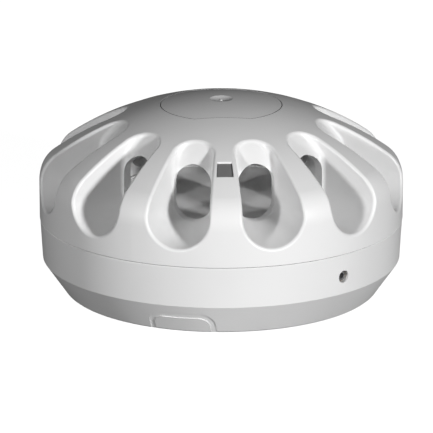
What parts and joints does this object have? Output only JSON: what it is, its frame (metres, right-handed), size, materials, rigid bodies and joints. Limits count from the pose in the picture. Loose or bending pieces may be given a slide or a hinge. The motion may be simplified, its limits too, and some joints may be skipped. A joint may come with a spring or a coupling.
{
  "type": "heat detector",
  "caption": "Round domed heat detector with deep air slots round a sensing chamber, twist-locked onto a wiring base with screw terminals.",
  "frame": {"origin": "centre of the mounting face that lies on the ceiling", "axes": "+Z out of the dome, away from the ceiling; -Y through the rib with the indicator window; +X to the right of that rib"},
  "size_m": [0.102, 0.102, 0.0541],
  "materials": {
    "cover_plastic": "satin moulded",
    "base_plastic": "satin moulded",
    "lens_plastic": "smoked translucent",
    "inner_plastic": "fine matt",
    "seal_rubber": "soft matt",
    "board_laminate": "solder mask",
    "chip_plastic": "moulded epoxy",
    "led_resin": "clear over white",
    "can_metal": "drawn can",
    "chip_ceramic": "fired ceramic",
    "film_black": "glazed film",
    "bead_epoxy": "dipped epoxy",
    "lead_wire": "tinned",
    "sleeve_polymer": "thin tube",
    "spring_brass": "stamped strip",
    "tin_steel": "zinc plated",
    "dark_steel": "blackened",
    "insert_brass": "turned"
  },
  "bodies": {
    "base": {"mounting_base": "base_plastic", "terminal_contacts": "spring_brass", "terminal_screws": "tin_steel", "clamp_washers": "tin_steel", "lock_screw_insert": "insert_brass"},
    "head": {"outer_cover": "cover_plastic", "top_cap": "cover_plastic", "light_pipe": "lens_plastic", "head_chassis": "base_plastic", "sensor_deck": "inner_plastic", "deck_seal": "seal_rubber", "thermistor_bead": "bead_epoxy", "thermistor_leads": "lead_wire", "thermistor_sleeves": "sleeve_polymer", "circuit_board": "board_laminate", "indicator_led": "led_resin", "microcontroller": "chip_plastic", "electrolytic_capacitor": "can_metal", "bridge_rectifier": "chip_plastic", "voltage_regulator": "chip_plastic", "surge_suppressor": "film_black", "chip_resistors": "film_black", "chip_capacitors": "chip_ceramic", "contact_blades": "spring_brass", "contact_rivets": "insert_brass", "case_screws": "tin_steel"},
    "lock_screw": {"lock_screw": "dark_steel"}
  },
  "joints": [
    {"name": "head_twist", "type": "hinge", "parent": "base", "child": "head", "pos_m": [0, 0, 0.0135], "axis": [0, 0, 1], "range_deg": [0, 20]},
    {"name": "lock_screw_advance", "type": "slide", "parent": "base", "child": "lock_screw", "axis": [-0.6428, 0.766, 0], "range_m": [0, 0.0018]}
  ]
}
